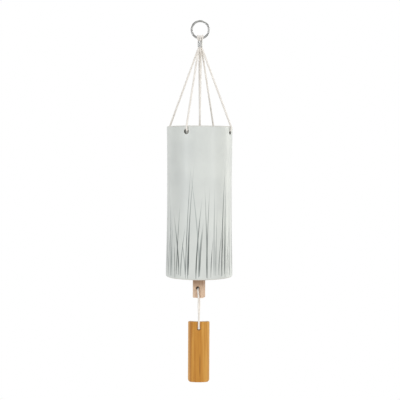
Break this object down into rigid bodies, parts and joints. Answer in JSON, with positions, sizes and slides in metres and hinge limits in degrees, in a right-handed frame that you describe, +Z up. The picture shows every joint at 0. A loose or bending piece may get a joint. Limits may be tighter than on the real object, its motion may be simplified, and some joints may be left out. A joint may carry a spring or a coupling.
{
  "type": "ceramic wind chime",
  "caption": "Hanging wind chime: a glazed ceramic tube bell on cotton cords from a split ring, with a wooden clapper inside and a bamboo wind sail below.",
  "frame": {"origin": "centre of the split ring that the chime hangs from", "axes": "+Z up along the hanging line, -Y towards the front, +X to the right; the ring lies in the XZ plane"},
  "size_m": [0.0848, 0.0848, 0.4583],
  "materials": {
    "nickel": "nickel plated",
    "cotton": "twisted cotton cord",
    "glaze": "satin pale glaze",
    "clapper_wood": "sanded, unvarnished",
    "bamboo": "oiled bamboo"
  },
  "bodies": {
    "ring": {"split_ring": "nickel"},
    "hanger": {"ring_loop_1": "cotton", "ring_loop_2": "cotton", "ring_loop_3": "cotton", "ferrule": "nickel"},
    "bell": {"suspension_cord_1": "cotton", "suspension_cord_2": "cotton", "suspension_cord_3": "cotton", "suspension_cord_4": "cotton", "stopper_knot_1": "cotton", "stopper_knot_2": "cotton", "stopper_knot_3": "cotton", "stopper_knot_4": "cotton", "ceramic_tube": "glaze"},
    "clapper_swivel": {"clapper_cord_end": "cotton"},
    "clapper_line": {"clapper_cord": "cotton"},
    "clapper": {"clapper": "clapper_wood", "sail_cord_yoke": "cotton"},
    "sail_line": {"sail_cord": "cotton"},
    "sail_hanger": {"sail_cord_loop": "cotton"},
    "sail": {"bamboo_sail": "bamboo"}
  },
  "joints": [
    {"name": "hanger_swing", "type": "hinge", "parent": "ring", "child": "hanger", "pos_m": [0, 0, -0.01075], "axis": [1, 0, 0], "range_deg": [-60, 60]},
    {"name": "bell_tilt", "type": "hinge", "parent": "hanger", "child": "bell", "pos_m": [0, 0, -0.02327], "axis": [0, 1, 0], "range_deg": [-15, 15]},
    {"name": "clapper_twist", "type": "hinge", "parent": "bell", "child": "clapper_swivel", "pos_m": [0, 0, -0.0264], "axis": [0, 0, 1], "continuous": true},
    {"name": "clapper_swing", "type": "hinge", "parent": "clapper_swivel", "child": "clapper_line", "pos_m": [0, 0, -0.0286], "axis": [0.9563, -0.2924, 0], "range_deg": [-5.8, 5.8]},
    {"name": "clapper_rock", "type": "hinge", "parent": "clapper_line", "child": "clapper", "pos_m": [0, 0, -0.24987], "axis": [0.2924, 0.9563, 0], "range_deg": [-6, 6]},
    {"name": "sail_swing", "type": "hinge", "parent": "clapper", "child": "sail_line", "pos_m": [0, 0, -0.35157], "axis": [1, 0, 0], "range_deg": [-60, 60]},
    {"name": "sail_twist", "type": "hinge", "parent": "sail_line", "child": "sail_hanger", "pos_m": [0, 0, -0.36127], "axis": [0, 0, 1], "range_deg": [-180, 180]},
    {"name": "sail_rock", "type": "hinge", "parent": "sail_hanger", "child": "sail", "pos_m": [0, 0, -0.37702], "axis": [0, 1, 0], "range_deg": [-30, 30]}
  ]
}
